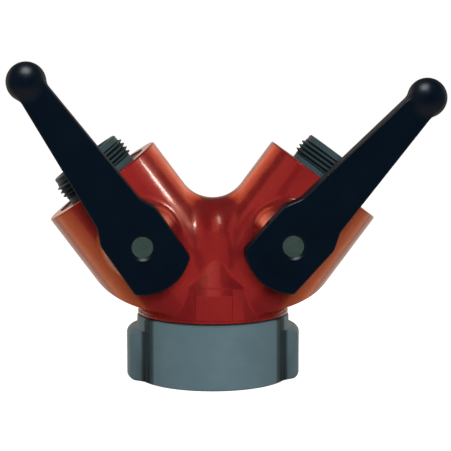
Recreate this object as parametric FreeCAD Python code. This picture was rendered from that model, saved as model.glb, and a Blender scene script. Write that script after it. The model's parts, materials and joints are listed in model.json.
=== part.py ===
import FreeCAD, Part
import math
import os

# Gated wye for fire hose: a swivel inlet below and two valved outlets above, in millimetres.
# Origin at the centre of the swivel nut's lower face, +Z up along the inlet, levers on the -Y side.

V = FreeCAD.Vector
X_AXIS = V(1, 0, 0)
Y_AXIS = V(0, 1, 0)
Z_AXIS = V(0, 0, 1)
FRONT = V(0, -1, 0)
SIDES = {"left": -1, "right": 1}

# Casting: two straight branches whose axes cross in the inlet, a skirt under them and a flanged tailpiece
branch_tilt = 36.6
branch_wall = 8.15
branch_length = 116.8
branch_edge_round = 1.2
crossing_height = 31.2
crotch_blend = 22.5
belly_radius = 50.0
belly_foot = 3.0
belly_blend = 4.5
flange_inset = 0.5
flange_thickness = 1.4
flange_lip = 1.4
skirt_taper = 2.5
skirt_height = 19.5
skirt_edge_round = 3.0
skirt_blend = 4.0
shoulder_inset = 12.9
shoulder_drop = 12.6
pad_left = -13.0
pad_right = 10.0
pad_rise = 2.6
pad_drop = 0.4
pad_edge_round = 0.8
throat_radius = 31.75
throat_cone_height = 16.0
boss_face_radius = 19.5
boss_draft = 12.0
boss_height = 12.5
boss_chamfer = 0.7
boss_blend = 11.0
boss_blend_least = 2.0
boss_margin = 11.0

# Valve: ball, seats and the pocket that holds them
waterway_radius = 19.05
ball_wall = 9.45
ball_cover = 13.5
ball_clearance = 0.12
pocket_clearance = 1.5
seat_step = 2.6
seat_clearance = 0.1
seat_wrap = 14.5
seat_tuck = 4.0
backing_thickness = 2.5
backing_width = 5.0
slot_depth = 6.2

# Stem
stem_radius = 6.35
stem_clearance = 0.05
stem_flange_radius = 9.5
stem_flange_thickness = 3.2
stem_recess = 1.4
tang_thickness = 9.5
tang_length = 16.0
tang_clearance = 0.15
tang_end_gap = 0.3
washer_thickness = 1.5
running_gap = 0.1
packing_depth = 1.6
packing_height = 2.4
packing_pitch = 4.2
packing_inset = 3.2
packing_count = 2

# Outlet adapter, 1 1/2 inch hose thread
plug_step = 2.0
plug_clearance = 0.05
plug_length = 22.0
plug_recess = 1.0
seal_width = 2.6
seal_depth = 2.3
seal_inset = 3.6
seal_room = 0.35
seal_clearance = 0.02
outlet_neck_step = 1.67
outlet_neck_length = 4.0
outlet_thread_radius = 25.27
outlet_thread_length = 11.0
pilot_step = 2.07
pilot_length = 3.8
pilot_chamfer = 0.7

# Lever
hub_gap = 0.5
lever_thickness = 13.8
hub_radius = 28.7
hub_half_width = 19.8
hub_corner_round = 2.0
hub_bore_chamfer = 1.6
shoulder_start = 14.5
shoulder_end = 24.5
shoulder_half_width = 15.2
shoulder_round = 9.0
tip_half_width = 8.4
knob_radius = 11.9
knob_reach = 118.0
knob_blend = 10.0
lever_edge_round = 1.2
band_height = 0.5
band_inner_radius = 18.6
band_margin = 1.8
band_half_angle = 38.0
quarter_turn = 90.0
open_tilt = 34.6
lever_turn = {"left": 0.0, "right": 7.7}
cross_pin_radius = 2.0
cross_pin_clearance = 0.02
cross_pin_length = 36.0
cross_pin_wall = 0.7
cross_pin_slit = 0.9
cross_pin_cover = 1.0
stop_pin_radius = 2.5
stop_pin_orbit = 14.5
stop_pin_depth = 8.0
stop_pin_stand = 3.8
stop_clearance = 0.3

# Swivel, 2 1/2 inch hose thread
nut_wall = 6.9
nut_height = 40.3
nut_chamfer = 0.9
nut_gap = 1.3
thread_minor_radius = 36.96
thread_length = 15.2
inlet_recess_step = 2.34
inlet_recess_depth = 4.0
tail_wall = 9.25
tail_clearance = 0.1
gasket_setback = 0.45
gasket_thickness = 4.7
gasket_gap = 0.3
gasket_clearance = 0.3
ring_bite = 2.0
ring_width = 3.9
ring_height = 3.6
ring_split = 8.0
ring_clearance = 0.2
ring_lift = 8.4
lug_reach = 6.6
lug_outer_half_width = 13.2
lug_root_half_width = 25.8
lug_root_depth = 1.0
lug_bottom = 1.0
lug_height = 31.5
lug_top_round = 3.6
lug_foot_round = 2.2
lug_blend = 13.0

# Length by which a cutter runs past the face it opens, and distance at which points count as one
overrun = 5.0
touch = 0.001

# Heights on the inlet axis
gasket_bottom = inlet_recess_depth + thread_length
tail_bottom = gasket_bottom + gasket_thickness + gasket_gap
ring_bottom = tail_bottom + ring_lift
flange_bottom = nut_height + nut_gap
flange_top = flange_bottom + flange_thickness
skirt_top = flange_top + skirt_height

# Radii that follow from a fit, from the waterway outwards and from the throat outwards
ball_radius = waterway_radius + ball_wall
seat_radius = ball_radius - seat_step
recess_radius = seat_radius + seat_clearance
pocket_radius = ball_radius + pocket_clearance
plug_radius = pocket_radius + plug_step
seal_floor = plug_radius + plug_clearance - seal_depth - 2 * seal_clearance
branch_radius = plug_radius + plug_clearance + branch_wall
outlet_neck_radius = outlet_thread_radius - outlet_neck_step
pilot_radius = outlet_thread_radius - pilot_step
tail_radius = throat_radius + tail_wall
tail_bore_radius = tail_radius + tail_clearance
ring_outer_radius = tail_radius + ring_bite
nut_radius = tail_radius + nut_wall
lug_radius = nut_radius + lug_reach
inlet_recess_radius = thread_minor_radius + inlet_recess_step
flange_radius = nut_radius - flange_inset
skirt_bottom_radius = flange_radius - flange_lip
skirt_top_radius = skirt_bottom_radius - skirt_taper
shoulder_radius = branch_radius - shoulder_inset

# The shoulder ends inside the branches, a drop below the point where their upper lines cross
shoulder_top = crossing_height + branch_radius / math.sin(math.radians(branch_tilt)) - shoulder_drop
shoulder_height = shoulder_top - skirt_top

# Distances along a branch from the ball's centre, outwards positive
branch_face = ball_radius + ball_cover
axis_crossing = branch_face - branch_length
seat_lip = ball_radius - seat_wrap
seat_back = ball_radius - seat_tuck
plug_outer = branch_face - plug_recess
plug_inner = plug_outer - plug_length
recess_end = seat_back + backing_thickness
outlet_thread_start = plug_outer + outlet_neck_length
outlet_pilot_start = outlet_thread_start + outlet_thread_length
outlet_end = outlet_pilot_start + pilot_length

# Distances towards the front from the branches' centre plane
boss_face = branch_radius + boss_height
hub_back = boss_face + hub_gap
hub_front = hub_back + lever_thickness
lever_middle = hub_back + lever_thickness / 2
stem_flange_inner = ball_radius + pocket_clearance / 2
stem_flange_outer = stem_flange_inner + stem_flange_thickness
washer_inner = stem_flange_outer + running_gap
washer_outer = washer_inner + washer_thickness
packing_starts = [washer_outer + packing_inset + i * packing_pitch for i in range(packing_count)]
stem_end = hub_front - stem_recess
stop_pin_end = hub_back + stop_pin_stand
stop_slot_floor = stop_pin_end + stop_clearance
cross_pin_depth = stop_slot_floor + cross_pin_cover + cross_pin_radius
tang_slot_floor = ball_radius - slot_depth


def polar(angle, radius):
    """Point in the XZ plane, with the angle in degrees from +Z towards +X."""
    return V(math.sin(math.radians(angle)), 0, math.cos(math.radians(angle))) * radius


def chain(points):
    return [Part.makeLine(a, b) for a, b in zip(points, points[1:])]


def arc_about(centre, start, end):
    """The shorter arc about a centre."""
    middle = centre + (start + end - centre * 2).normalize() * (start - centre).Length
    return Part.Arc(start, middle, end).toShape()


def turned(edges, axis=Z_AXIS):
    """Solid turned from a closed outline in the XZ plane, with its own +Z laid along the axis."""
    solid = Part.Face(Part.Wire(edges)).revolve(V(), Z_AXIS, 360)
    solid.rotate(V(), X_AXIS, 0 if axis == Z_AXIS else 90)
    return solid


def turned_outline(outline, axis=Z_AXIS):
    points = [V(radius, 0, height) for radius, height in outline]
    return turned(chain(points + points[:1]), axis)


def tube(inner, outer, bottom, top, axis=Z_AXIS):
    return turned_outline([(inner, bottom), (outer, bottom), (outer, top), (inner, top)], axis)


def rod(radius, bottom, top, axis=Z_AXIS):
    return Part.makeCylinder(radius, top - bottom, axis * bottom, axis)


def block(low, high):
    return Part.makeBox(high.x - low.x, high.y - low.y, high.z - low.z, low)


def placed(shape, position, tilt):
    """Copy of a shape, tilted about Y and moved."""
    copy = shape.copy()
    copy.rotate(V(), Y_AXIS, tilt)
    copy.translate(position)
    return copy


def edges_where(shape, test):
    """Edges whose every sampled point passes the test."""
    samples = 5
    real = [edge for edge in shape.Edges if not edge.Degenerated]
    return [edge for edge in real if all(test(point) for point in edge.discretize(samples))]


def same(a, b):
    return abs(a - b) < touch


def ball_centre(side):
    return V(0, 0, crossing_height) - polar(side * branch_tilt, axis_crossing)


def in_branch(shape, side):
    """Move a shape from the ball's own frame, +Z outwards, into a branch."""
    return placed(shape, ball_centre(side), side * branch_tilt)


def in_lever(shape, name):
    """Move a shape from the lever's own frame, +Z towards the knob, to where the lever stands."""
    side = SIDES[name]
    return placed(shape, ball_centre(side), side * (open_tilt + lever_turn[name]))


def drum_radius(height):
    """Radius of the skirt, or of its shoulder, at a height."""
    if height < skirt_top:
        taper = skirt_taper / skirt_height
    else:
        taper = (skirt_top_radius - shoulder_radius) / shoulder_height
    return skirt_top_radius + (skirt_top - height) * taper


def belly():
    """Room for the branches: above the flange, inside a curve from the skirt to their undersides."""
    inward = polar(branch_tilt - 90, 1)
    underside = V(0, 0, crossing_height) - inward * branch_radius
    foot = V(drum_radius(flange_top + belly_foot), 0, flange_top + belly_foot)
    depth = (foot - underside).dot(inward)
    along = math.sqrt((2 * belly_radius - depth) * depth)
    centre = foot + inward * (belly_radius - depth) + polar(branch_tilt, along)
    start = centre - inward * belly_radius
    out = foot.x + belly_blend - centre.x
    blend_centre = centre + V(out, 0, -math.sqrt((belly_radius + belly_blend) ** 2 - out ** 2))
    end = centre + (blend_centre - centre).normalize() * belly_radius
    heel = blend_centre - X_AXIS * belly_blend
    far = branch_length + branch_radius
    corners = [start, V(far, 0, start.z), V(far, 0, far), V(0, 0, far), V(0, 0, flange_top)]
    corners += [V(heel.x, 0, flange_top), heel]
    return turned([arc_about(centre, end, start)] + chain(corners) + [arc_about(blend_centre, heel, end)])


def branches_outside():
    """Both branches as straight rods, with the crotch and the valleys between them blended."""
    straight = rod(branch_radius, axis_crossing - branch_radius, branch_face)
    rim = edges_where(straight, lambda p: same(p.z, branch_face))
    straight = straight.makeFillet(branch_edge_round, rim)
    pair = in_branch(straight, -1).fuse(in_branch(straight, 1)).common(belly())
    return pair.makeFillet(crotch_blend, edges_where(pair, lambda p: same(p.x, 0)))


def skirt():
    """Tapered drum between the branches and the flange, with a sloping shoulder."""
    drum = turned_outline([
        (0, flange_top),
        (skirt_bottom_radius, flange_top),
        (skirt_top_radius, skirt_top),
        (shoulder_radius, shoulder_top),
        (0, shoulder_top),
    ])
    return drum.makeFillet(skirt_edge_round, edges_where(drum, lambda p: same(p.z, skirt_top)))


def at_skirt(point):
    """Whether a point lies on the skirt or its shoulder, or as near as the rounded edge between them."""
    on_drum = abs(math.hypot(point.x, point.y) - drum_radius(point.z)) < skirt_edge_round / 2
    return on_drum and flange_top - touch < point.z < shoulder_top


def skirt_pad():
    """Plain raised pad on the skirt's front, with its top parallel to the shoulder."""
    radius = skirt_top_radius + pad_rise
    root = skirt_top - pad_drop
    top = root - pad_rise * shoulder_height / (skirt_top_radius - shoulder_radius)
    drum = turned_outline([
        (0, flange_top),
        (radius, flange_top),
        (radius, top),
        (skirt_top_radius, root),
        (0, root),
    ])
    pad = drum.common(block(V(pad_left, -radius - overrun, flange_top), V(pad_right, 0, root)))
    rims = edges_where(pad, lambda p: same(math.hypot(p.x, p.y), radius))
    rims = [edge for edge in rims if not same(edge.CenterOfMass.z, flange_top)]
    return pad.makeFillet(pad_edge_round, rims)


def tailpiece():
    return turned_outline([
        (0, tail_bottom),
        (tail_radius, tail_bottom),
        (tail_radius, flange_bottom),
        (flange_radius, flange_bottom),
        (flange_radius, flange_top),
        (0, flange_top),
    ])


def boss_cone_radius(depth):
    return boss_face_radius + (boss_face - depth) * math.tan(math.radians(boss_draft))


def boss_outside():
    """Drafted boss for the stem, in the ball's frame, rooted well inside the branch."""
    root = branch_radius / 3
    cone = Part.makeCone(boss_cone_radius(root), boss_face_radius, boss_face - root, FRONT * root, FRONT)
    rim = edges_where(cone, lambda p: same(p.y, -boss_face))
    return cone.makeChamfer(boss_chamfer, rim)


def at_boss_root(point, side):
    """Whether a point lies where a boss's cone meets its branch."""
    offset = point - ball_centre(side)
    on_cone = same(math.hypot(offset.x, offset.z), boss_cone_radius(-offset.y))
    return on_cone and -offset.y < branch_radius + touch


def boss_fillet():
    """Radius of the blend at a boss's root, limited by the room beside it."""
    room = ball_centre(1).x - boss_cone_radius(branch_radius) - boss_margin
    return max(min(boss_blend, room), boss_blend_least)


def casting_outside():
    """Branches, skirt, bosses and tailpiece, each blended into what carries it."""
    skin = branches_outside().fuse(skirt()).removeSplitter()
    climbing = skirt_edge_round / 4
    roots = [edge for edge in edges_where(skin, at_skirt) if edge.BoundBox.ZLength > climbing]
    skin = skin.makeFillet(skirt_blend, roots)
    skin = skin.fuse([skirt_pad()] + [in_branch(boss_outside(), side) for side in SIDES.values()])
    for side in SIDES.values():
        skin = skin.makeFillet(boss_fillet(), edges_where(skin, lambda p: at_boss_root(p, side)))
    return skin.fuse(tailpiece()).removeSplitter()


def valve_chamber():
    """Waterway, seat recess, ball pocket, adapter mouth and stem bore, in the ball's frame."""
    waterway = rod(waterway_radius, axis_crossing, 0)
    return waterway.fuse([
        rod(recess_radius, -recess_end, 0),
        rod(pocket_radius, -seat_lip, plug_inner),
        rod(plug_radius + plug_clearance, plug_inner, branch_face + overrun),
        rod(stem_radius + stem_clearance, 0, boss_face + overrun, FRONT),
        rod(stem_flange_radius + 2 * running_gap, 0, washer_outer, FRONT),
    ])


def stop_pin_place(side):
    """Stop pin's centre in the XZ plane: where the slot of the open lever ends."""
    return ball_centre(side) + polar(side * (open_tilt + 180 + quarter_turn / 2), stop_pin_orbit)


def wye_body():
    """Casting: the outside with its blends, then everything bored out of it."""
    cutters = [
        rod(throat_radius, tail_bottom - overrun, flange_bottom),
        Part.makeCone(throat_radius, waterway_radius, throat_cone_height, V(0, 0, flange_bottom)),
        tube(ring_outer_radius - 2 * ring_width - ring_clearance, tail_radius + overrun,
             ring_bottom - ring_clearance, ring_bottom + ring_height + ring_clearance),
    ]
    for side in SIDES.values():
        pin_hole = rod(stop_pin_radius, boss_face - stop_pin_depth, boss_face + overrun, FRONT)
        cutters.append(in_branch(valve_chamber(), side))
        cutters.append(placed(pin_hole, stop_pin_place(side), 0))
    return casting_outside().cut(cutters)


def stop_pin(side):
    pin = rod(stop_pin_radius, boss_face - stop_pin_depth, stop_pin_end, FRONT)
    return placed(pin, stop_pin_place(side), 0)


def outlet_adapter():
    """Plug with its seat recess and seal groove, then neck, thread land and pilot, in the ball's frame."""
    body = turned_outline([
        (waterway_radius, recess_end),
        (recess_radius, recess_end),
        (recess_radius, plug_inner),
        (plug_radius, plug_inner),
        (plug_radius, plug_outer),
        (outlet_neck_radius, plug_outer),
        (outlet_neck_radius, outlet_thread_start),
        (outlet_thread_radius, outlet_thread_start),
        (outlet_thread_radius, outlet_pilot_start),
        (pilot_radius, outlet_pilot_start),
        (pilot_radius, outlet_end - pilot_chamfer),
        (pilot_radius - pilot_chamfer, outlet_end),
        (waterway_radius, outlet_end),
    ])
    start = plug_inner + seal_inset
    groove = tube(seal_floor, plug_radius + overrun, start, start + seal_width + 2 * seal_room)
    return body.cut(groove)


def adapter_seal():
    """Square-cut seal in the middle of its groove."""
    start = plug_inner + seal_inset + seal_room
    inside = seal_floor + seal_clearance
    return tube(inside, inside + seal_depth, start, start + seal_width)


def seat():
    """Seat ring with a spherical face, on the outlet side of the ball."""
    face = ball_radius + ball_clearance
    lip = V(math.sqrt(face ** 2 - seat_lip ** 2), 0, seat_lip)
    throat = V(waterway_radius, 0, math.sqrt(face ** 2 - waterway_radius ** 2))
    corners = [
        throat,
        V(waterway_radius, 0, seat_back),
        V(seat_radius, 0, seat_back),
        V(seat_radius, 0, seat_lip),
        lip,
    ]
    face_arc = Part.Arc(lip, (lip + throat).normalize() * face, throat).toShape()
    return turned(chain(corners) + [face_arc])


def backing():
    return tube(seat_radius - backing_width, seat_radius, seat_back, recess_end)


def ball():
    """Ball bored along the lever, with the stem's slot across the bore."""
    reach = ball_radius + overrun
    half_width = tang_thickness / 2 + tang_clearance
    slot = block(V(-reach, -reach, -half_width), V(reach, -tang_slot_floor, half_width))
    return Part.makeSphere(ball_radius).cut([rod(waterway_radius, -reach, reach), slot])


def cross_hole():
    hole = rod(cross_pin_radius, -hub_half_width - overrun, hub_half_width + overrun, X_AXIS)
    return placed(hole, FRONT * cross_pin_depth, 0)


def packing_rings(outside):
    """Rings as wide and deep as the stem's packing grooves, out to a given radius."""
    floor = stem_radius - packing_depth
    return [tube(floor, outside, start, start + packing_height, FRONT) for start in packing_starts]


def stem():
    """Stem with tang, flange, packing grooves and the hole for the handle's pin."""
    tang = block(V(-tang_length / 2, -stem_flange_inner, -tang_thickness / 2),
                 V(tang_length / 2, -tang_slot_floor - tang_end_gap, tang_thickness / 2))
    flange = rod(stem_flange_radius, stem_flange_inner, stem_flange_outer, FRONT)
    shaft = rod(stem_radius, stem_flange_outer, stem_end, FRONT)
    return tang.fuse([flange, shaft]).cut(packing_rings(stem_radius + overrun) + [cross_hole()])


def stem_packing():
    """Packing rings that fill the stem's grooves."""
    return Part.makeCompound(packing_rings(stem_radius))


def thrust_washer():
    return tube(stem_radius + stem_clearance, stem_flange_radius, washer_inner, washer_outer, FRONT)


def handle_pin():
    """Rolled spring pin with its slit towards the front."""
    outside = cross_pin_radius - cross_pin_clearance
    half_length = cross_pin_length / 2
    pin = rod(outside, -half_length, half_length, X_AXIS)
    hollow = rod(outside - cross_pin_wall, -half_length - overrun, half_length + overrun, X_AXIS)
    slit = block(V(-half_length - overrun, -2 * outside, -cross_pin_slit / 2),
                 V(half_length + overrun, 0, cross_pin_slit / 2))
    return placed(pin.cut([hollow, slit]), FRONT * cross_pin_depth, 0)


def arc_bar(inner, outer, half_angle, back, front):
    """Rectangular bar bent about the stem, centred below it."""
    section = Part.Face(Part.makePolygon([
        V(0, -back, -inner),
        V(0, -back, -outer),
        V(0, -front, -outer),
        V(0, -front, -inner),
        V(0, -back, -inner),
    ]))
    section.rotate(V(), Y_AXIS, -half_angle)
    return section.revolve(V(), Y_AXIS, 2 * half_angle)


def stop_slot():
    """Blind arc slot with round ends in the hub's back, for the stop pin's quarter turn."""
    half_width = stop_pin_radius + stop_clearance
    start = hub_back - overrun
    end_angle = quarter_turn / 2
    inner = stop_pin_orbit - half_width
    slot = arc_bar(inner, inner + 2 * half_width, end_angle, start, stop_slot_floor)
    cap = rod(half_width, start, stop_slot_floor, FRONT)
    ends = [polar(180 + turn, stop_pin_orbit) for turn in (-end_angle, end_angle)]
    return slot.fuse([placed(cap, end, 0) for end in ends])


def rounded_chain(points, radius):
    """Lines through the points, with a tangent arc of one radius at each inner corner."""
    edges = []
    start = points[0]
    for before, corner, after in zip(points, points[1:], points[2:]):
        back = (before - corner).normalize()
        ahead = (after - corner).normalize()
        half = back.getAngle(ahead) / 2
        reach = radius / math.tan(half)
        middle = corner + (back + ahead).normalize() * (radius / math.sin(half) - radius)
        edges.append(Part.makeLine(start, corner + back * reach))
        edges.append(Part.Arc(corner + back * reach, middle, corner + ahead * reach).toShape())
        start = corner + ahead * reach
    return edges + [Part.makeLine(start, points[-1])]


def lever_outline():
    """Sector hub, shoulders and tapering bar, in the XZ plane."""
    hub_corner = V(hub_half_width, 0, -math.sqrt(hub_radius ** 2 - hub_half_width ** 2))
    flank = [
        hub_corner,
        V(hub_half_width, 0, shoulder_start),
        V(shoulder_half_width, 0, shoulder_end),
        V(tip_half_width, 0, knob_reach),
    ]
    mirrored = [V(-p.x, 0, p.z) for p in flank]
    bottom = Part.Arc(mirrored[0], V(0, 0, -hub_radius), flank[0]).toShape()
    tip = Part.makeLine(flank[-1], mirrored[-1])
    return Part.Wire(Part.sortEdges(
        rounded_chain(flank, shoulder_round) + [tip, bottom] + rounded_chain(mirrored, shoulder_round))[0])


def hub_bore():
    """Hole for the stem, with a chamfered mouth at the front."""
    radius = stem_radius + stem_clearance
    mouth = Part.makeCone(radius, radius + hub_bore_chamfer + overrun, hub_bore_chamfer + overrun,
                          FRONT * (hub_front - hub_bore_chamfer), FRONT)
    return rod(radius, hub_back - overrun, hub_front, FRONT).fuse(mouth)


def handle():
    """One-piece lever: sector hub with a plain raised band, bar and ball end."""
    bar = Part.Face(lever_outline()).extrude(FRONT * lever_thickness)
    bar.translate(FRONT * hub_back)
    corners = edges_where(bar, lambda p: same(abs(p.x), hub_half_width) and p.z < -hub_radius / 2)
    bar = bar.makeFillet(hub_corner_round, corners)
    rims = edges_where(bar, lambda p: same(p.y, -hub_back) or same(p.y, -hub_front))
    rims = [edge for edge in rims if not same(edge.CenterOfMass.z, knob_reach)]
    bar = bar.makeFillet(lever_edge_round, rims)
    knob_centre = V(0, -lever_middle, knob_reach)
    lever = bar.fuse(Part.makeSphere(knob_radius, knob_centre)).removeSplitter()
    knob_root = edges_where(lever, lambda p: same((p - knob_centre).Length, knob_radius))
    lever = lever.makeFillet(knob_blend, knob_root)
    band = arc_bar(band_inner_radius, hub_radius - band_margin, band_half_angle,
                   hub_front - band_height, hub_front + band_height)
    return lever.fuse(band).cut([hub_bore(), stop_slot(), cross_hole()])


def lug_barrel():
    """Drum that gives the lugs their outer face, rounded above and below."""
    top = lug_bottom + lug_height
    drum = rod(lug_radius, lug_bottom, top)
    drum = drum.makeFillet(lug_top_round, edges_where(drum, lambda p: same(p.z, top)))
    return drum.makeFillet(lug_foot_round, edges_where(drum, lambda p: same(p.z, lug_bottom)))


def swivel_lug():
    """Lug at +X: tapering flanks cut off by the barrel."""
    root = math.sqrt(nut_radius ** 2 - lug_root_half_width ** 2) - lug_root_depth
    plan = [
        V(root, -lug_root_half_width, lug_bottom),
        V(lug_radius, -lug_outer_half_width, lug_bottom),
        V(lug_radius, lug_outer_half_width, lug_bottom),
        V(root, lug_root_half_width, lug_bottom),
    ]
    return Part.Face(Part.Wire(chain(plan + plan[:1]))).extrude(Z_AXIS * lug_height).common(lug_barrel())


def at_lug_root(point):
    """Whether a point lies where a lug's flank meets the ring."""
    on_ring = same(math.hypot(point.x, point.y), nut_radius)
    return on_ring and lug_outer_half_width < abs(point.y) < lug_root_half_width + touch


def swivel_nut():
    """Swivel ring with two lugs, then its inlet recess, thread bore, gasket ledge and ring groove."""
    ring = rod(nut_radius, 0, nut_height)
    ring = ring.makeChamfer(nut_chamfer, edges_where(ring, lambda p: same(p.z, 0) or same(p.z, nut_height)))
    lugs = [swivel_lug(), swivel_lug()]
    lugs[1].rotate(V(), Z_AXIS, 180)
    outside = ring.fuse(lugs)
    outside = outside.makeFillet(lug_blend, edges_where(outside, at_lug_root))
    inside = turned_outline([
        (0, -overrun),
        (inlet_recess_radius, -overrun),
        (inlet_recess_radius, inlet_recess_depth),
        (thread_minor_radius, inlet_recess_depth),
        (thread_minor_radius, gasket_bottom),
        (tail_bore_radius, gasket_bottom),
        (tail_bore_radius, nut_height + overrun),
        (0, nut_height + overrun),
    ])
    groove = tube(tail_radius, ring_outer_radius + ring_clearance,
                  ring_bottom - ring_clearance, ring_bottom + ring_height + ring_clearance)
    return outside.cut([inside, groove])


def inlet_gasket():
    return tube(throat_radius + gasket_setback, tail_bore_radius - gasket_clearance,
                gasket_bottom, gasket_bottom + gasket_thickness)


def retaining_ring():
    """Split ring, half in the tailpiece and half in the nut, with its gap at the back."""
    ring = tube(ring_outer_radius - ring_width, ring_outer_radius, ring_bottom, ring_bottom + ring_height)
    gap = block(V(-ring_split / 2, 0, ring_bottom - overrun),
                V(ring_split / 2, ring_outer_radius + overrun, ring_bottom + ring_height + overrun))
    return ring.cut(gap)


def inlet_side(shape):
    """The same ring turned round to the inlet side of the ball."""
    return placed(shape, V(), 180)


def valve_pieces(name):
    """Everything in one branch, by node name."""
    side = SIDES[name]
    fixed = {
        "outlet_adapter": outlet_adapter(),
        "adapter_seal": adapter_seal(),
        "outer_seat": seat(),
        "inner_seat": inlet_side(seat()),
        "outer_backing": backing(),
        "inner_backing": inlet_side(backing()),
        "thrust_washer": thrust_washer(),
    }
    turning = {
        "ball": ball(),
        "stem": stem(),
        "stem_packing": stem_packing(),
        "handle": handle(),
        "handle_pin": handle_pin(),
    }
    pieces = {f"stop_pin_{name}": stop_pin(side)}
    pieces.update({f"{piece}_{name}": in_branch(shape, side) for piece, shape in fixed.items()})
    pieces.update({f"{piece}_{name}": in_lever(shape, name) for piece, shape in turning.items()})
    return pieces


def main():
    os.makedirs("parts", exist_ok=True)
    pieces = {
        "wye_body": wye_body(),
        "swivel_nut": swivel_nut(),
        "inlet_gasket": inlet_gasket(),
        "retaining_ring": retaining_ring(),
    }
    for name in SIDES:
        pieces.update(valve_pieces(name))
    for name, shape in pieces.items():
        shape.exportStep(f"parts/{name}.step")
        print(name, "valid" if shape.isValid() else "NOT VALID", len(shape.Solids), round(shape.Volume, 1))


main()
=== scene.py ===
import json
import math

import bmesh
import bpy
from mathutils import Matrix, Vector


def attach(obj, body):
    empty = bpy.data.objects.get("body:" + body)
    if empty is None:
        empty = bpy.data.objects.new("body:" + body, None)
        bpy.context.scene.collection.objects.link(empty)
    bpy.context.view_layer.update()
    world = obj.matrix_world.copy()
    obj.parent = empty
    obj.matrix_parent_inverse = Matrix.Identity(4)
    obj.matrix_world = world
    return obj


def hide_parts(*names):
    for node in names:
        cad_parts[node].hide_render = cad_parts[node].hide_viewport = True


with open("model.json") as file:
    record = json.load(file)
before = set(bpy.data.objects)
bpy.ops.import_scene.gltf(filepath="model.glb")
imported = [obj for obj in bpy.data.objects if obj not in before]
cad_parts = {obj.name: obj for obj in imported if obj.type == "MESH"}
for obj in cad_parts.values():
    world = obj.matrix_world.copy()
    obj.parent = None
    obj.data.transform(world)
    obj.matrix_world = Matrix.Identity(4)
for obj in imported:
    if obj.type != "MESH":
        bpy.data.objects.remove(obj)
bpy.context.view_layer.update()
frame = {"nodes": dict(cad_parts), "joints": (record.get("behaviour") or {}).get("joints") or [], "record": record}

mm = 0.001
record = frame["record"]
mounts = {row["name"]: row for row in record["mounts"]}
joints = {row["name"]: row for row in frame["joints"]}
sides = {"left": -1, "right": 1}
ballCentre = Vector(joints["right_lever"]["pos_m"])  # the left one mirrors it across X
branchAxis = Vector(mounts["outlet_right"]["axis"])
branchTilt = math.atan2(branchAxis.x, branchAxis.z)
print("frame loaded:", len(frame["nodes"]), "nodes")


# node helpers, shared by the materials, the room and the thread's geometry tree
def addNode(tree, kind, values=None, **settings):
    node = tree.nodes.new(kind)
    for key, value in settings.items():
        setattr(node, key, value)
    for key, value in (values or {}).items():
        if isinstance(value, bpy.types.NodeSocket):
            tree.links.new(value, node.inputs[key])
        else:
            node.inputs[key].default_value = value
    return node


def calc(tree, operation, *values):
    node = addNode(tree, "ShaderNodeMath", dict(enumerate(values)), operation=operation)
    return node.outputs[0]


def plus(tree, first, second):
    return calc(tree, "ADD", first, second)


def minus(tree, first, second):
    return calc(tree, "SUBTRACT", first, second)


def times(tree, first, second):
    return calc(tree, "MULTIPLY", first, second)


def hypotenuse(tree, first, second):
    return calc(tree, "SQRT", plus(tree, times(tree, first, first), times(tree, second, second)))


def splitAxes(tree, place):
    return addNode(tree, "ShaderNodeSeparateXYZ", {"Vector": place}).outputs


def remap(tree, value, low, high, newLow, newHigh, curve="LINEAR"):
    node = addNode(tree, "ShaderNodeMapRange", {
        "Value": value, "From Min": low, "From Max": high, "To Min": newLow, "To Max": newHigh,
    }, interpolation_type=curve, clamp=True)
    return node.outputs["Result"]


def noise(tree, where, size, detail, rough):  # size is one blotch in metres
    return addNode(tree, "ShaderNodeTexNoise", {
        "Vector": where, "Scale": 1 / size, "Detail": detail, "Roughness": rough,
    }).outputs["Fac"]


def lineNoise(tree, where, size, detail):  # noise along one coordinate, for turning marks
    return addNode(tree, "ShaderNodeTexNoise", {
        "W": where, "Scale": 1 / size, "Detail": detail,
    }, noise_dimensions="1D").outputs["Fac"]


def twoTone(tree, factor, dark, light):
    node = addNode(tree, "ShaderNodeMix", data_type="RGBA")
    tree.links.new(factor, node.inputs["Factor"])
    node.inputs[6].default_value = (*dark, 1)  # the node's colour inputs, after those of its other types
    node.inputs[7].default_value = (*light, 1)
    return node.outputs[2]


def bump(tree, height, depth, below=None):  # depth is the full height of the relief in metres
    values = {"Height": height, "Distance": depth, "Strength": 1.0}
    if below is not None:
        values["Normal"] = below
    return addNode(tree, "ShaderNodeBump", values).outputs["Normal"]


# a look's keys that are names of the shader's sockets are set there; of the others, a noise has its size
# in metres, detail and roughness, a depth is in metres, tone is the span of noise from dark to light, and
# rough is the lowest and the highest roughness
roughSpan = (0.3, 0.7)  # span of noise from the lowest to the highest roughness


def newMaterial(name, look):
    material = bpy.data.materials.new(name)
    material.use_nodes = True
    tree = material.node_tree
    shader = tree.nodes["Principled BSDF"]
    for key, value in look.items():
        if key in shader.inputs:
            shader.inputs[key].default_value = value
    where = addNode(tree, "ShaderNodeTexCoord").outputs["Object"]
    return material, tree, shader, where


def toned(tree, value, look):
    return twoTone(tree, remap(tree, value, *look["tone"], 0, 1), look["dark"], look["light"])


def roughened(tree, value, look):
    return remap(tree, value, *roughSpan, *look["rough"])


def blotchAndMarks(tree, blotch, marks, look):
    return plus(tree, times(tree, blotch, look["blotchShare"]), times(tree, marks, look["markShare"]))


def dress(tree, shader, colour, roughness, normal):
    tree.links.new(colour, shader.inputs["Base Color"])
    tree.links.new(roughness, shader.inputs["Roughness"])
    tree.links.new(normal, shader.inputs["Normal"])


# coordinates that follow the turned pieces; the branches mirror each other, so X is folded
def fromBall(tree, where):
    axes = splitAxes(tree, where)
    x = minus(tree, calc(tree, "ABSOLUTE", axes["X"]), ballCentre.x)
    z = minus(tree, axes["Z"], ballCentre.z)
    return x, z


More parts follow.
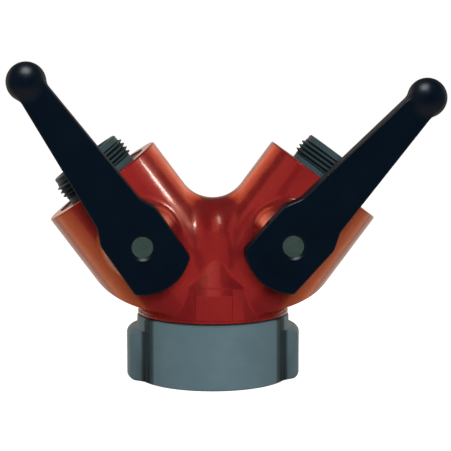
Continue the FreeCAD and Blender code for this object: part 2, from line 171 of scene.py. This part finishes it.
def alongBranch(tree, where):
    x, z = fromBall(tree, where)
    return plus(tree, times(tree, x, branchAxis.x), times(tree, z, branchAxis.z))


def fromBranch(tree, where):  # distance from the branch's axis
    x, z = fromBall(tree, where)
    across = minus(tree, times(tree, x, branchAxis.z), times(tree, z, branchAxis.x))
    return hypotenuse(tree, across, splitAxes(tree, where)["Y"])


def fromStem(tree, where):  # distance from the stem's axis
    return hypotenuse(tree, *fromBall(tree, where))


def alongInlet(tree, where):
    return splitAxes(tree, where)["Z"]


# red coat on the casting: glossy, a little wavy from the cast skin, with orange peel and a few nibs
redLook = {
    "Specular IOR Level": 0.38, "Specular Tint": (1.0, 0.42, 0.2, 1.0),
    "Coat Weight": 0.2, "Coat Roughness": 0.09, "Coat IOR": 1.5,
    "dark": (0.170, 0.0100, 0.0125), "light": (0.230, 0.0152, 0.0170), "tone": (0.3, 0.7),
    "blotch": (0.035, 4.0, 0.6), "wave": (0.011, 1.5, 0.5), "waveDepth": 0.00026,
    "peel": (0.0013, 1.0, 0.5), "peelDepth": 0.000012,
    "nibApart": 0.0075, "nibSize": 0.11, "nibDepth": 0.00012,
    "nibFrom": 0.72,  # only the cells above this have a nib
    "gloss": (0.011, 5.0, 0.65), "rough": (0.2, 0.34),
}


def redCoat():
    look = redLook
    material, tree, shader, where = newMaterial("redCoat", look)
    colour = toned(tree, noise(tree, where, *look["blotch"]), look)
    wave = bump(tree, noise(tree, where, *look["wave"]), look["waveDepth"])
    peel = bump(tree, noise(tree, where, *look["peel"]), look["peelDepth"], wave)
    cells = addNode(tree, "ShaderNodeTexVoronoi", {"Vector": where, "Scale": 1 / look["nibApart"]}).outputs
    nib = remap(tree, cells["Distance"], 0, look["nibSize"], 1, 0, "SMOOTHSTEP")
    chosen = calc(tree, "GREATER_THAN", cells["Color"], look["nibFrom"])
    normal = bump(tree, times(tree, nib, chosen), look["nibDepth"], peel)
    roughness = roughened(tree, noise(tree, where, *look["gloss"]), look)
    dress(tree, shader, colour, roughness, normal)
    return material


# outlets: plug with its seal groove, neck, male hose thread and pilot, in millimetres
# heights run along the branch from the ball's centre
outletSizes = {
    "bore": 19.05, "seatRadius": 26.0, "plugRadius": 32.0, "grooveRadius": 29.71, "neckRadius": 23.6,
    "pilotRadius": 23.2, "plugInner": 19.0, "grooveStart": 22.6, "grooveEnd": 25.9, "seatFloor": 27.0,
    "plugOuter": 41.0, "outletEnd": 59.8, "pilotChamfer": 0.7, "pilotEase": 0.15, "ease": 0.35,
}
outletThread = {
    "Root radius": 23.45, "Depth": 1.82, "Pitch": 2.822, "Start": 45.0, "Length": 11.0, "Run-out": 1.3,
    "Root share": 0.16, "Crest share": 0.13, "Columns": 144, "Rows per turn": 16,
}


# grey hard coat on the turned fittings, with fine tool marks round the axis that is handed in; its colour is
# scaled by the shade that is handed in, which holds painted shade
greyLook = {
    "Metallic": 0.1, "Specular IOR Level": 0.15, "Specular Tint": (0.45, 0.8, 1.0, 1.0),
    "dark": (0.150, 0.238, 0.268), "light": (0.182, 0.283, 0.315), "tone": (0.35, 0.65),
    "blotch": (0.02, 5.0, 0.6), "blotchShare": 0.7,
    "mark": (0.0007, 3.0), "markShare": 0.12, "markDepth": 0.000012,
    "grain": (0.0005, 2.0, 0.5), "grainDepth": 0.000006, "rough": (0.42, 0.56),
}
# shares of the grey that are left on the outlets, which are darker overall than the nut, and in their thread
# grooves, where the darkening is painted shade; edge and wall are in millimetres
outletDarkening = {"overall": 0.42, "groove": 0.08, "crestEdge": 0.3, "wall": 1.0}
# painted shade on the nut beside each lug, darkest at the lug's root, with a painted highlight line in its corner;
# places are in millimetres
lugPaintedShadeSizes = {
    "root": (42.0, 24.9), "rootReach": (3.4, 7.0), "paintedRootDark": 0.2,
    "corner": (39.6, 26.9), "cornerReach": 1.6, "paintedCornerLight": 0.42,
}


# painted shade: darker towards the root of the thread's grooves and lighter on the crests, times the outlets'
# overall share
def threadPaintedShade(tree, where):
    root = outletThread["Root radius"] * mm
    crest = root + outletThread["Depth"] * mm
    start = outletThread["Start"] * mm
    end = start + outletThread["Length"] * mm
    along = alongBranch(tree, where)
    radius = fromBranch(tree, where)
    threaded = times(tree, calc(tree, "GREATER_THAN", along, start), calc(tree, "LESS_THAN", along, end))
    outside = calc(tree, "GREATER_THAN", radius, root - outletDarkening["wall"] * mm)
    crestEdge = crest - outletDarkening["crestEdge"] * mm
    depth = remap(tree, radius, root, crestEdge, outletDarkening["groove"], 1.0, "SMOOTHSTEP")
    used = times(tree, threaded, outside)
    shade = plus(tree, times(tree, depth, used), minus(tree, 1.0, used))
    return times(tree, shade, outletDarkening["overall"])


def fromLine(tree, x, y, place):  # distance from an upright line
    return hypotenuse(tree, minus(tree, x, place[0] * mm), minus(tree, y, place[1] * mm))


# painted shade beside each lug, and a painted highlight line where the lug's flank meets the ring
def lugPaintedShade(tree, where):
    axes = splitAxes(tree, where)
    x = calc(tree, "ABSOLUTE", axes["X"])
    y = calc(tree, "ABSOLUTE", axes["Y"])
    near, far = lugPaintedShadeSizes["rootReach"]
    fromRoot = fromLine(tree, x, y, lugPaintedShadeSizes["root"])
    paintedRootShade = remap(tree, fromRoot, near * mm, far * mm, lugPaintedShadeSizes["paintedRootDark"], 1.0, "SMOOTHSTEP")
    # the painted highlight line in the corner between the lug's flank and the ring's wall
    fromCorner = fromLine(tree, x, y, lugPaintedShadeSizes["corner"])
    reach = lugPaintedShadeSizes["cornerReach"] * mm
    corner = remap(tree, fromCorner, 0.0, reach, lugPaintedShadeSizes["paintedCornerLight"], 0.0, "SMOOTHSTEP")
    return calc(tree, "MAXIMUM", paintedRootShade, corner)


def greyCoat(name, axisCoordinate, shade):
    look = greyLook
    material, tree, shader, where = newMaterial(name, look)
    marks = lineNoise(tree, axisCoordinate(tree, where), *look["mark"])
    mixed = blotchAndMarks(tree, noise(tree, where, *look["blotch"]), marks, look)
    # the colour is scaled by the handed-in shade: painted shade beside the nut's lugs or in the outlets' thread
    # grooves
    colour = addNode(tree, "ShaderNodeVectorMath", {
        0: toned(tree, mixed, look), "Scale": shade(tree, where),
    }, operation="SCALE").outputs[0]
    ringed = bump(tree, marks, look["markDepth"])
    normal = bump(tree, noise(tree, where, *look["grain"]), look["grainDepth"], ringed)
    dress(tree, shader, colour, roughened(tree, mixed, look), normal)
    return material


# turned steel of the stems, pins and the split ring, with rings about each stem's axis
steelLook = {
    "Metallic": 0.4, "Specular IOR Level": 0.5,
    "dark": (0.064, 0.106, 0.092), "light": (0.106, 0.162, 0.144), "tone": (0.35, 0.65),
    "blotch": (0.006, 4.0, 0.6), "blotchShare": 0.5,
    "mark": (0.00035, 3.0), "markShare": 0.5, "markDepth": 0.00002, "rough": (0.38, 0.52),
}


def turnedSteel():
    look = steelLook
    material, tree, shader, where = newMaterial("turnedSteel", look)
    marks = lineNoise(tree, fromStem(tree, where), *look["mark"])
    blotch = noise(tree, where, *look["blotch"])
    colour = toned(tree, blotchAndMarks(tree, blotch, marks, look), look)
    dress(tree, shader, colour, roughened(tree, blotch, look), bump(tree, marks, look["markDepth"]))
    return material


# black coat on the levers: satin over a fine cast grain
blackLook = {
    "Specular IOR Level": 0.0, "Coat Weight": 0.19, "Coat Roughness": 0.36, "Coat IOR": 4.0,
    "dark": (0.0001, 0.0040, 0.0105), "light": (0.0002, 0.0062, 0.0160), "tone": (0.3, 0.7),
    "blotch": (0.018, 5.0, 0.6), "wave": (0.009, 2.0, 0.5), "waveDepth": 0.00008,
    "grain": (0.0011, 3.0, 0.6), "grainDepth": 0.00003, "rough": (0.24, 0.34),
}
# plated balls: bright, with faint lapping marks as their grain
platingLook = {
    "Metallic": 1.0, "dark": (0.5, 0.51, 0.53), "light": (0.64, 0.65, 0.66), "tone": (0.3, 0.7),
    "blotch": (0.012, 5.0, 0.6), "grain": (0.0006, 2.0, 0.5), "grainDepth": 0.000003, "rough": (0.07, 0.18),
}
# white plastic of the seats and thrust washers
plasticLook = {
    "Specular IOR Level": 0.45, "Subsurface Weight": 0.08, "Subsurface Scale": 0.002,
    "dark": (0.7, 0.685, 0.64), "light": (0.8, 0.79, 0.76), "tone": (0.3, 0.7),
    "blotch": (0.008, 5.0, 0.6), "grain": (0.0006, 3.0, 0.6), "grainDepth": 0.00001, "rough": (0.38, 0.52),
}
# black rubber of the seals and the hose washer
rubberLook = {
    "Specular IOR Level": 0.3,
    "dark": (0.008, 0.008, 0.009), "light": (0.02, 0.02, 0.021), "tone": (0.3, 0.7),
    "blotch": (0.006, 5.0, 0.6), "grain": (0.0004, 3.0, 0.6), "grainDepth": 0.00002, "rough": (0.62, 0.8),
}


def grainyFinish(name, look):  # blotches in the colour and gloss, over a grain and any wave
    material, tree, shader, where = newMaterial(name, look)
    blotch = noise(tree, where, *look["blotch"])
    wave = None
    if "wave" in look:
        wave = bump(tree, noise(tree, where, *look["wave"]), look["waveDepth"])
    normal = bump(tree, noise(tree, where, *look["grain"]), look["grainDepth"], wave)
    dress(tree, shader, toned(tree, blotch, look), roughened(tree, blotch, look), normal)
    return material


finishes = {
    "red_casting": redCoat(),
    "black_lever": grainyFinish("blackCoat", blackLook),
    "steel": turnedSteel(),
    "ball_plating": grainyFinish("ballPlating", platingLook),
    "seat_plastic": grainyFinish("seatPlastic", plasticLook),
    "seal_rubber": grainyFinish("sealRubber", rubberLook),
}
# the nut's grey carries painted shade beside the lugs and a painted highlight line in each corner
greyNut = greyCoat("greyNut", alongInlet, lugPaintedShade)
# the outlets' grey is darker overall and carries painted shade in the thread grooves
greyOutlet = greyCoat("greyOutlet", alongBranch, threadPaintedShade)
for row in record["subparts"]:
    if row["material_slot"] in finishes:
        frame["nodes"][row["node"]].data.materials[0] = finishes[row["material_slot"]]
print("finishes given to the CAD nodes")


# inputs of the screw thread's tree; the lengths are written in millimetres and handed in as metres
threadLengths = ("Root radius", "Depth", "Pitch", "Start", "Length", "Run-out")
threadShares = ("Root share", "Crest share")
threadCounts = ("Columns", "Rows", "Rows per turn")
meshing = {
    "threadWeld": 0.002 * mm, "weld": 0.004 * mm,
    "sharp": 30, "sharpTapped": 28,  # an edge is sharp from this many degrees
}


# screw thread as a geometry tree: a grid wound into a helix, with its depth faded out at both ends
def threadTree():
    tree = bpy.data.node_groups.new("screwThread", "GeometryNodeTree")
    kinds = {name: "Float" for name in threadLengths + threadShares}
    kinds.update({name: "Int" for name in threadCounts})
    kinds["Material"] = "Material"
    for name, kind in kinds.items():
        tree.interface.new_socket(name=name, in_out="INPUT", socket_type="NodeSocket" + kind)
    tree.interface.new_socket(name="Geometry", in_out="OUTPUT", socket_type="NodeSocketGeometry")
    size = addNode(tree, "NodeGroupInput").outputs
    grid = addNode(tree, "GeometryNodeMeshGrid", {  # a unit square about the origin
        "Size X": 1.0, "Size Y": 1.0,
        "Vertices X": plus(tree, size["Columns"], 1.0), "Vertices Y": size["Rows"],
    }).outputs["Mesh"]
    flat = splitAxes(tree, addNode(tree, "GeometryNodeInputPosition").outputs["Position"])
    around = plus(tree, flat["X"], 0.5)
    row = times(tree, plus(tree, flat["Y"], 0.5), minus(tree, size["Rows"], 1.0))
    turns = minus(tree, calc(tree, "DIVIDE", row, size["Rows per turn"]), 1.0)
    climb = times(tree, plus(tree, turns, around), size["Pitch"])
    climb = calc(tree, "MINIMUM", calc(tree, "MAXIMUM", climb, 0.0), size["Length"])
    phase = minus(tree, calc(tree, "DIVIDE", climb, size["Pitch"]), around)
    wave = times(tree, calc(tree, "PINGPONG", phase, 0.5), 2.0)
    tooth = remap(tree, wave, size["Root share"], minus(tree, 1.0, size["Crest share"]), 0.0, 1.0)
    comingIn = remap(tree, climb, 0.0, size["Run-out"], 0.0, 1.0, "SMOOTHSTEP")
    toEnd = minus(tree, size["Length"], climb)
    goingOut = remap(tree, toEnd, 0.0, size["Run-out"], 0.0, 1.0, "SMOOTHSTEP")
    height = times(tree, times(tree, tooth, size["Depth"]), times(tree, comingIn, goingOut))
    radius = plus(tree, size["Root radius"], height)
    angle = times(tree, around, math.tau)
    place = addNode(tree, "ShaderNodeCombineXYZ", {
        "X": times(tree, radius, calc(tree, "COSINE", angle)),
        "Y": times(tree, radius, calc(tree, "SINE", angle)),
        "Z": plus(tree, size["Start"], climb),
    }).outputs["Vector"]
    wound = addNode(tree, "GeometryNodeSetPosition", {"Geometry": grid, "Position": place})
    joined = addNode(tree, "GeometryNodeMergeByDistance", {
        "Geometry": wound.outputs["Geometry"], "Distance": meshing["threadWeld"]})
    real = addNode(tree, "GeometryNodeRealizeInstances", {"Geometry": joined.outputs["Geometry"]})
    done = addNode(tree, "GeometryNodeSetMaterial", {
        "Geometry": real.outputs["Geometry"], "Material": size["Material"]})
    tree.links.new(done.outputs["Geometry"], addNode(tree, "NodeGroupOutput").inputs["Geometry"])
    return tree


screwThread = threadTree()


def newObject(name, data):
    thing = bpy.data.objects.new(name, data)
    bpy.context.scene.collection.objects.link(thing)
    return thing


def plainMesh(thing):  # what the modifiers give, as a mesh of its own
    shape = thing.evaluated_get(bpy.context.evaluated_depsgraph_get())
    return bpy.data.meshes.new_from_object(shape)


def threadMesh(name, sizes, material):
    thing = newObject(name, bpy.data.meshes.new(name))
    modifier = thing.modifiers.new("thread", "NODES")
    modifier.node_group = screwThread
    rows = math.ceil((sizes["Length"] / sizes["Pitch"] + 1) * sizes["Rows per turn"]) + 1
    values = {key: value * mm if key in threadLengths else value for key, value in sizes.items()}
    values.update({"Rows": rows, "Material": material})
    for socket in screwThread.interface.items_tree:
        if socket.in_out == "INPUT":
            modifier[socket.identifier] = values[socket.name]
    mesh = plainMesh(thing)
    bpy.data.objects.remove(thing)
    return mesh


def easedProfile(corners):  # corners are (radius, height, easing), with each eased corner cut by a short arc
    arcShares = (0.0, 0.3, 0.7, 1.0)
    points = []
    for index, (radius, height, ease) in enumerate(corners):
        corner = Vector((radius, height))
        if not ease:
            points.append(corner)
            continue
        before = (Vector(corners[index - 1][:2]) - corner).normalized()
        after = (Vector(corners[index + 1][:2]) - corner).normalized()
        for share in arcShares:
            points.append(corner + before * ease * (1 - share) ** 2 + after * ease * share ** 2)
    return points


def turnRound(form, points, columns):  # open profile turned about Z, in metres
    angles = [math.tau * column / columns for column in range(columns)]
    rings = []
    for radius, height in points:
        rings.append([form.verts.new((radius * math.cos(a), radius * math.sin(a), height)) for a in angles])
    for low, high in zip(rings, rings[1:]):
        for column in range(columns):
            after = (column + 1) % columns
            form.faces.new((low[column], low[after], high[after], high[column]))


def oneMaterial(mesh, material):
    mesh.materials.clear()
    mesh.materials.append(material)
    mesh.polygons.foreach_set("material_index", [0] * len(mesh.polygons))


def smoothShade(mesh, sharp):
    mesh.shade_smooth()
    mesh.set_sharp_from_angle(angle=math.radians(sharp))


def finishMesh(form, mesh):
    bmesh.ops.remove_doubles(form, verts=form.verts, dist=meshing["weld"])
    bmesh.ops.recalc_face_normals(form, faces=form.faces)
    form.to_mesh(mesh)
    form.free()
    smoothShade(mesh, meshing["sharp"])


def outletFitting(sideName, side):
    name = "outletFitting_" + sideName
    s = outletSizes
    threadRoot, threadStart = outletThread["Root radius"], outletThread["Start"]
    threadEnd = threadStart + outletThread["Length"]
    corners = [
        (threadRoot, threadEnd, 0),
        (s["pilotRadius"], threadEnd, 0),
        (s["pilotRadius"], s["outletEnd"] - s["pilotChamfer"], s["pilotEase"]),
        (s["pilotRadius"] - s["pilotChamfer"], s["outletEnd"], s["pilotEase"]),
        (s["bore"], s["outletEnd"], s["ease"]),
        (s["bore"], s["seatFloor"], 0),
        (s["seatRadius"], s["seatFloor"], 0),
        (s["seatRadius"], s["plugInner"], 0),
        (s["plugRadius"], s["plugInner"], s["ease"]),
        (s["plugRadius"], s["grooveStart"], 0),
        (s["grooveRadius"], s["grooveStart"], 0),
        (s["grooveRadius"], s["grooveEnd"], 0),
        (s["plugRadius"], s["grooveEnd"], 0),
        (s["plugRadius"], s["plugOuter"], s["ease"]),
        (s["neckRadius"], s["plugOuter"], s["ease"]),
        (s["neckRadius"], threadStart, 0),
        (threadRoot, threadStart, 0),
    ]
    form = bmesh.new()
    mesh = threadMesh(name, outletThread, greyOutlet)
    form.from_mesh(mesh)
    turnRound(form, [point * mm for point in easedProfile(corners)], outletThread["Columns"])
    finishMesh(form, mesh)
    oneMaterial(mesh, greyOutlet)
    atBall = Matrix.Translation((side * ballCentre.x, 0, ballCentre.z))
    mesh.transform(atBall @ Matrix.Rotation(side * branchTilt, 4, "Y"))
    piece = newObject(name, mesh)
    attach(piece, "casting")
    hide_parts("outlet_adapter_" + sideName)


for sideName, side in sides.items():
    outletFitting(sideName, side)
print("outlets turned and threaded")


# swivel ring: the CAD ring, tapped with the female hose thread up to the washer's ledge
inletThread = {
    "Root radius": 36.55, "Depth": 2.42, "Pitch": 3.387, "Start": 1.5, "Length": 16.6, "Run-out": 1.6,
    "Root share": 0.06, "Crest share": 0.13, "Columns": 144, "Rows per turn": 12,
}


def inletTap():  # a solid screw that cuts the thread
    form = bmesh.new()
    mesh = threadMesh("tap", inletThread, greyNut)
    form.from_mesh(mesh)
    bmesh.ops.holes_fill(form, edges=[edge for edge in form.edges if edge.is_boundary])
    finishMesh(form, mesh)
    return newObject("tap", mesh)


def swivelRing():
    form = bmesh.new()
    form.from_mesh(frame["nodes"]["swivel_nut"].data)
    mesh = bpy.data.meshes.new("swivelRing")
    finishMesh(form, mesh)
    piece = newObject("swivelRing", mesh)
    tap = inletTap()
    cut = piece.modifiers.new("tapped", "BOOLEAN")
    cut.operation = "DIFFERENCE"
    cut.solver = "EXACT"
    cut.object = tap
    tapped = plainMesh(piece)
    piece.modifiers.remove(cut)
    piece.data = tapped
    bpy.data.objects.remove(tap)
    oneMaterial(tapped, greyNut)
    smoothShade(tapped, meshing["sharpTapped"])
    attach(piece, "swivel")
    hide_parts("swivel_nut")


swivelRing()
print("swivel ring tapped")


# pale floor that glows for the camera alone
floorLook = {
    "Specular IOR Level": 0.1, "Emission Color": (1.0, 1.0, 1.0, 1.0), "Emission Strength": 0.93,
    "dark": (0.891, 0.89298, 0.89595), "light": (0.9, 0.902, 0.905), "tone": (0.0, 1.0),
    "size": 14.0, "grain": (0.05, 3.0, 0.5), "grainDepth": 0.00002, "rough": (0.75, 0.85),
}


def paleFloor():
    look = floorLook
    half = look["size"] / 2
    corners = [(-half, -half, 0), (half, -half, 0), (half, half, 0), (-half, half, 0)]
    mesh = bpy.data.meshes.new("floor")
    mesh.from_pydata(corners, [], [(0, 1, 2, 3)])
    material, tree, shader, where = newMaterial("paleFloor", look)
    grain = noise(tree, where, *look["grain"])
    normal = bump(tree, grain, look["grainDepth"])
    dress(tree, shader, toned(tree, grain, look), roughened(tree, grain, look), normal)
    mesh.materials.append(material)
    floor = newObject("floor", mesh)
    floor.visible_diffuse = False  # the room's own glow from below lights the object instead
    floor.visible_glossy = False
    floor.visible_shadow = False


# dim room with a warm glow behind and below, and a white backdrop that only the camera sees
# the levels are brightness, and the spans are the parts of a direction's X, Y or Z in which they come and go
roomLook = {
    "front": 0.015, "back": 1.0, "side": 0.05, "below": 0.14, "above": 0.12, "warm": (1.0, 0.84, 0.7),
    "backSpan": (0.2, 0.8), "upSpan": (0.15, 0.7), "sideSpan": (0.4, 1.0), "underSpan": (-0.9, -0.15),
}


def dimRoom():
    look = roomLook
    world = bpy.data.worlds.new("room")
    bpy.context.scene.world = world
    world.use_nodes = True
    tree = world.node_tree
    way = splitAxes(tree, addNode(tree, "ShaderNodeTexCoord").outputs["Generated"])
    behind = remap(tree, way["Y"], *look["backSpan"], 0.0, 1.0, "SMOOTHSTEP")
    level = remap(tree, behind, 0.0, 1.0, look["front"], look["back"])
    level = times(tree, level, remap(tree, way["Z"], *look["upSpan"], 1.0, look["above"], "SMOOTHSTEP"))
    aside = calc(tree, "ABSOLUTE", way["X"])
    beside = remap(tree, aside, *look["sideSpan"], 0.0, look["side"], "SMOOTHSTEP")
    under = remap(tree, way["Z"], *look["underSpan"], 1.0, 0.0, "SMOOTHSTEP")
    level = plus(tree, level, plus(tree, beside, times(tree, under, look["below"])))
    seen = addNode(tree, "ShaderNodeLightPath").outputs["Is Camera Ray"]
    level = calc(tree, "MAXIMUM", level, seen)
    warmth = minus(tree, calc(tree, "MAXIMUM", behind, under), seen)
    tint = twoTone(tree, warmth, (1, 1, 1), look["warm"])
    background = tree.nodes["Background"].inputs
    tree.links.new(level, background["Strength"])
    tree.links.new(tint, background["Color"])


# soft lamps: way and distance from the aim, width and height in metres, and power in watts
# a lamp shows in the gloss, lights the surface or does both, and "on" keeps it to a group of nodes
# a row with two powers is a mirrored pair, whose way is the right lamp's
lampAim = (0, 0, 0.1)
lampGroups = {"casting": ("wye_body",), "levers": ("handle_left", "handle_right")}
lamps = {
    "glint": {
        "way": (0.799, -0.105, 0.592), "away": 0.5, "size": (0.03, 0.045), "power": 0.4,
        "does": "shows", "on": "casting"},
    "topLamp": {
        "way": (-0.12, -0.38, 0.92), "away": 0.76, "size": (0.4, 0.4), "power": 1.9,
        "does": "shows", "on": "levers"},
    "paintLamp": {
        "way": (-0.15, -0.35, 0.92), "away": 0.8, "size": (0.1, 0.16), "power": 0.9,
        "does": "shows", "on": "casting"},
    "facetLamp": {
        "way": (0.0, -0.47, 0.88), "away": 0.8, "size": (0.24, 0.24), "power": 0.8,
        "does": "shows", "on": "casting", "colour": (1.0, 0.2, 0.2)},
    "faceLamp": {
        "way": (0.1, -0.95, 0.3), "away": 0.63, "size": (1.1, 0.95), "power": 7.4,
        "does": "shows", "on": "casting", "colour": (1.0, 0.17, 0.14)},
    "shoulder": {
        "way": (0.8, -0.25, 0.55), "away": 0.9, "size": (0.5, 0.5), "powers": {"left": 2.6, "right": 2.6},
        "does": "shows", "on": "casting", "colour": (1.0, 0.17, 0.14)},
    "lamp": {
        "way": (0.62, 0.1, 0.78), "away": 1.2, "size": (0.6, 0.6), "powers": {"left": 2.4, "right": 2.6},
        "does": "lights"},
    "frontLamp": {
        "way": (0.02, -0.96, 0.25), "away": 1.6, "size": (0.4, 0.4), "power": 18.5,
        "does": "lights"},
    "bounce": {
        "way": (0.74, 0.12, -0.62), "away": 1.0, "size": (0.8, 0.8), "powers": {"left": 4.9, "right": 4.1},
        "does": "both", "on": "casting", "colour": (1.0, 0.45, 0.15)},
    "flank": {
        "way": (0.6, 0.66, 0.45), "away": 1.0, "size": (0.6, 0.6), "powers": {"left": 4.0, "right": 3.2},
        "does": "shows", "on": "casting", "colour": (1.0, 0.15, 0.03)},
}


def softLamp(name, lamp, way, power, groups):
    light = bpy.data.lights.new(name, "AREA")
    light.shape = "RECTANGLE"
    light.size, light.size_y = lamp["size"]
    light.energy = power
    light.color = lamp.get("colour", (1.0, 1.0, 1.0))
    thing = newObject(name, light)
    thing.visible_glossy = lamp["does"] != "lights"
    thing.visible_diffuse = lamp["does"] != "shows"
    thing.visible_camera = False
    if "on" in lamp:
        thing.light_linking.receiver_collection = groups[lamp["on"]]
    thing.location = Vector(lampAim) + way.normalized() * lamp["away"]
    thing.rotation_euler = way.to_track_quat("Z", "Y").to_euler()


def lampsUp():
    groups = {}
    for name, nodes in lampGroups.items():
        groups[name] = bpy.data.collections.new(name)
        for node in nodes:
            groups[name].objects.link(frame["nodes"][node])
    for name, lamp in lamps.items():
        x, y, z = lamp["way"]
        if "power" in lamp:
            softLamp(name, lamp, Vector((x, y, z)), lamp["power"], groups)
        for sideName, power in lamp.get("powers", {}).items():
            way = Vector((sides[sideName] * x, y, z))
            softLamp(sideName + name.capitalize(), lamp, way, power, groups)


# camera from the photograph: place, near and far in metres, turn and dip in degrees, sensor in millimetres,
# focal length and frame in the photograph's pixels
view = {
    "place": (-0.0475, -1.0113, 0.22216), "turn": 3.14, "dip": 7.11, "focal": 1620.58, "frame": 451,
    "sensor": 36.0, "near": 0.05, "far": 50.0,
}


def cameraUp():
    camera = bpy.data.cameras.new("camera")
    camera.sensor_width = view["sensor"]
    camera.lens = view["focal"] / view["frame"] * view["sensor"]
    camera.clip_start = view["near"]
    camera.clip_end = view["far"]
    thing = newObject("camera", camera)
    thing.location = view["place"]
    thing.rotation_euler = (math.radians(90 - view["dip"]), 0, math.radians(-view["turn"]))
    bpy.context.scene.camera = thing


paleFloor()
dimRoom()
lampsUp()
cameraUp()
bpy.context.scene.view_settings.view_transform = "Standard"
print("stage, lamps and camera set")
